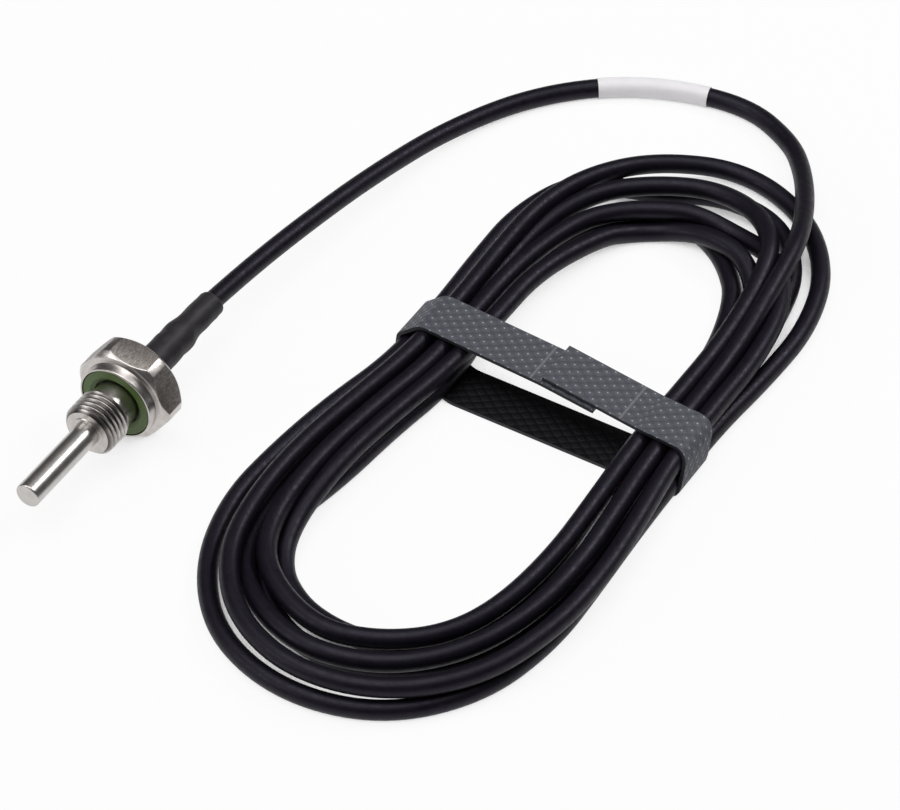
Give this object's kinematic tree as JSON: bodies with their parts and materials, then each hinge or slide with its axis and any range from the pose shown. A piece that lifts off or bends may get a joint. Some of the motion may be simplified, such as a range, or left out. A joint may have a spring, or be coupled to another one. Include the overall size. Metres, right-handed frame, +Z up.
{
  "type": "temperature sensor",
  "caption": "Screw-in temperature probe with hexagon, sealing collar and profile ring, short sheath tube, shrink sleeve and a long tied cable coil.",
  "frame": {"origin": "on the surface that the sensor lies on, under the middle of the sensor's length and on its axis line", "axes": "-Y along the sensor's axis towards the probe's tip, +Z up, the coil of cable lies towards +X"},
  "size_m": [0.1302, 0.2241, 0.0232],
  "materials": {
    "body_steel": "turned and milled stainless steel",
    "sheath_steel": "drawn stainless steel tube",
    "seal_rubber": "green fluoro-rubber, matt",
    "chip_ceramic": "white ceramic with glass cover",
    "lead_nickel": "nickel wire and tab",
    "filling_grey": "heat-conducting paste, cured",
    "liner_clear": "polyimide tube",
    "joint_white": "thin shrink tube",
    "copper": "bare copper",
    "core_red": "core insulation",
    "core_white": "core insulation",
    "resin": "casting resin",
    "cable_black": "smooth jacket with a soft sheen",
    "sleeve_dark": "heat-shrunk sleeve",
    "marker_white": "smooth shrunk sleeve, bare",
    "strap_slate": "ribbed tie strap"
  },
  "bodies": {
    "root": {"hex_body": "body_steel", "probe_tube": "sheath_steel", "seal_ring": "seal_rubber", "sensing_element": "chip_ceramic", "element_leads": "lead_nickel", "tip_filling": "filling_grey", "liner_tube": "liner_clear", "joint_tabs": "lead_nickel", "joint_tubes": "joint_white", "conductors": "copper", "core_red_a": "core_red", "core_red_b": "core_red", "core_white_a": "core_white", "core_white_b": "core_white", "potting_plug": "resin", "cable_root": "cable_black", "shrink_sleeve": "sleeve_dark", "cable_lead": "cable_black", "marker_sleeve": "marker_white", "cable_coil": "cable_black", "tie_strap": "strap_slate"}
  },
  "joints": []
}
